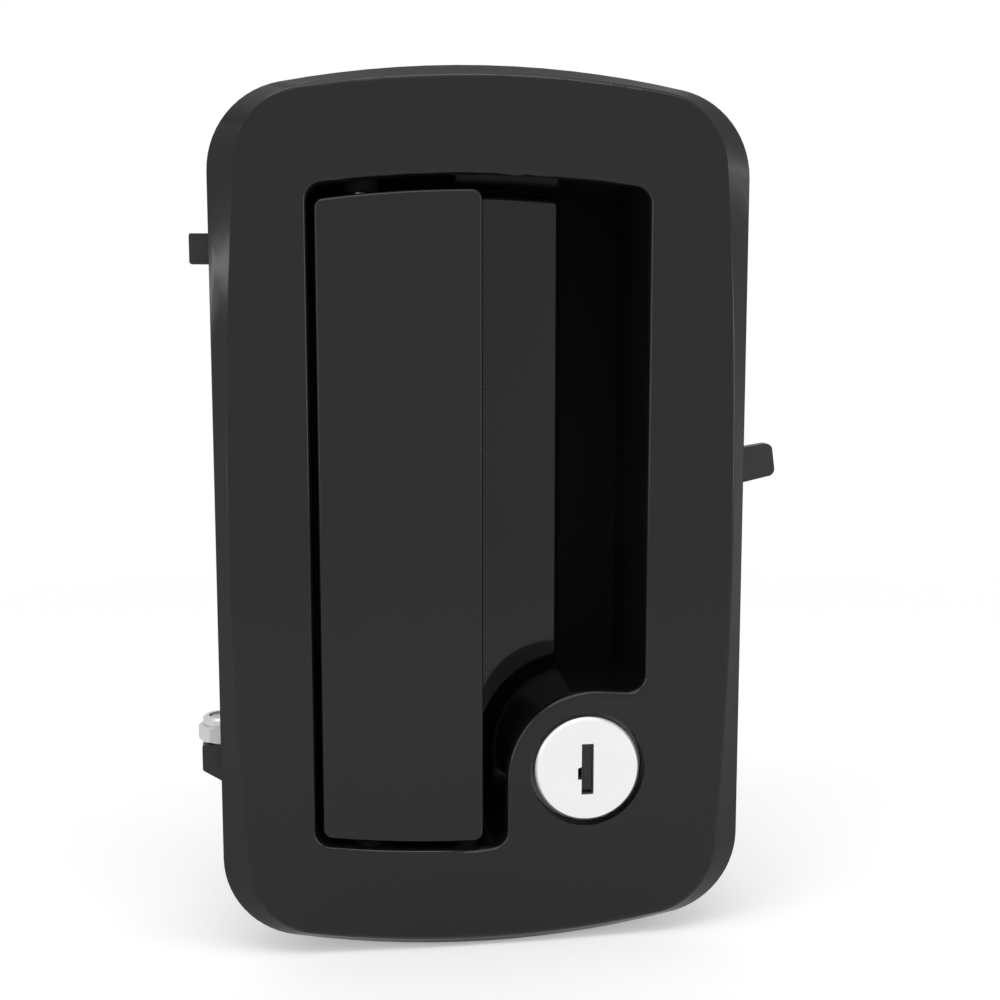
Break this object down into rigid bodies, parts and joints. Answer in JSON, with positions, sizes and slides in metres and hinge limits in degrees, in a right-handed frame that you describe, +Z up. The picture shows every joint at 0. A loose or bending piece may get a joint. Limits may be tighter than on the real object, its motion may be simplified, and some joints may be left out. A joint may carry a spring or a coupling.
{
  "type": "paddle latch",
  "caption": "Flush paddle latch: black bezel with an L-shaped finger recess, tall pull pad, round key lock in the lower corner, and a release lever and clamp bars behind",
  "frame": {"origin": "middle of the flange, on the outer skin of the door, where the flange lip and the gasket bear", "axes": "+X to the right as seen from outside, +Y into the door, +Z up"},
  "size_m": [0.1211, 0.0399, 0.166],
  "materials": {
    "pan": "black moulding with a fine satin gloss",
    "paddle": "black moulding with a fine satin gloss",
    "pocket_plate": "black moulding, smoother than the bezel",
    "gasket": "closed-cell foam rubber, dull black",
    "bumpers": "soft rubber, dull black",
    "hinge_pin": "drawn steel",
    "paddle_spring": "bright spring wire",
    "lever_spring": "bright spring wire",
    "release_lever": "stamped steel, black coated",
    "upper_clamp": "folded steel, black coated",
    "lower_clamp": "folded steel, black coated",
    "pivot_screw": "bright zinc",
    "pivot_bush": "turned steel, bright zinc",
    "pivot_washer": "bright zinc",
    "pivot_nut": "bright zinc",
    "anchor_stud": "bright zinc",
    "anchor_nut": "bright zinc",
    "clamp_screws": "bright zinc",
    "clamp_washers": "bright zinc",
    "lock_plug": "satin chrome plate",
    "lock_shutter": "darkened steel",
    "lock_barrel": "die-cast zinc, as cast",
    "lock_clip": "spring steel",
    "lock_cam": "stamped steel, bright zinc",
    "cam_screw": "bright zinc",
    "cam_washer": "bright zinc"
  },
  "bodies": {
    "housing": {"pan": "pan", "pocket_plate": "pocket_plate", "gasket": "gasket", "hinge_pin": "hinge_pin", "bumpers": "bumpers", "paddle_spring": "paddle_spring", "lever_spring": "lever_spring", "pivot_screw": "pivot_screw", "pivot_bush": "pivot_bush", "pivot_washer": "pivot_washer", "pivot_nut": "pivot_nut", "upper_clamp": "upper_clamp", "lower_clamp": "lower_clamp", "clamp_screws": "clamp_screws", "clamp_washers": "clamp_washers", "anchor_stud": "anchor_stud", "anchor_nut": "anchor_nut", "lock_barrel": "lock_barrel", "lock_clip": "lock_clip"},
    "pad": {"paddle": "paddle"},
    "lever": {"release_lever": "release_lever"},
    "lock_core": {"lock_plug": "lock_plug", "lock_cam": "lock_cam", "cam_screw": "cam_screw", "cam_washer": "cam_washer"},
    "shutter": {"lock_shutter": "lock_shutter"}
  },
  "joints": [
    {"name": "pad_pull", "type": "hinge", "parent": "housing", "child": "pad", "pos_m": [-0.0225, 0.0015, 0], "axis": [0, 0, -1], "range_deg": [0, 25], "stiffness_Nm_per_rad": 0.12, "springref_deg": -20.05, "deforming": ["paddle_spring"]},
    {"name": "lever_turn", "type": "hinge", "parent": "housing", "child": "lever", "pos_m": [0.0126, 0.02825, -0.002], "axis": [0, 1, 0], "range_deg": [0, 19], "stiffness_Nm_per_rad": 0.04, "springref_deg": -20.05, "deforming": ["lever_spring"]},
    {"name": "key_turn", "type": "hinge", "parent": "housing", "child": "lock_core", "pos_m": [0.01945, 0, -0.04864], "axis": [0, -1, 0], "range_deg": [-90, 0]},
    {"name": "shutter_flap", "type": "hinge", "parent": "lock_core", "child": "shutter", "pos_m": [0.01945, -0.00147, -0.04414], "axis": [1, 0, 0], "range_deg": [0, 75], "stiffness_Nm_per_rad": 0.0004, "springref_deg": -17.19}
  ],
  "couplings": [
    {"joint": "lever_turn", "follows": "pad_pull", "ratio": 0.76}
  ]
}
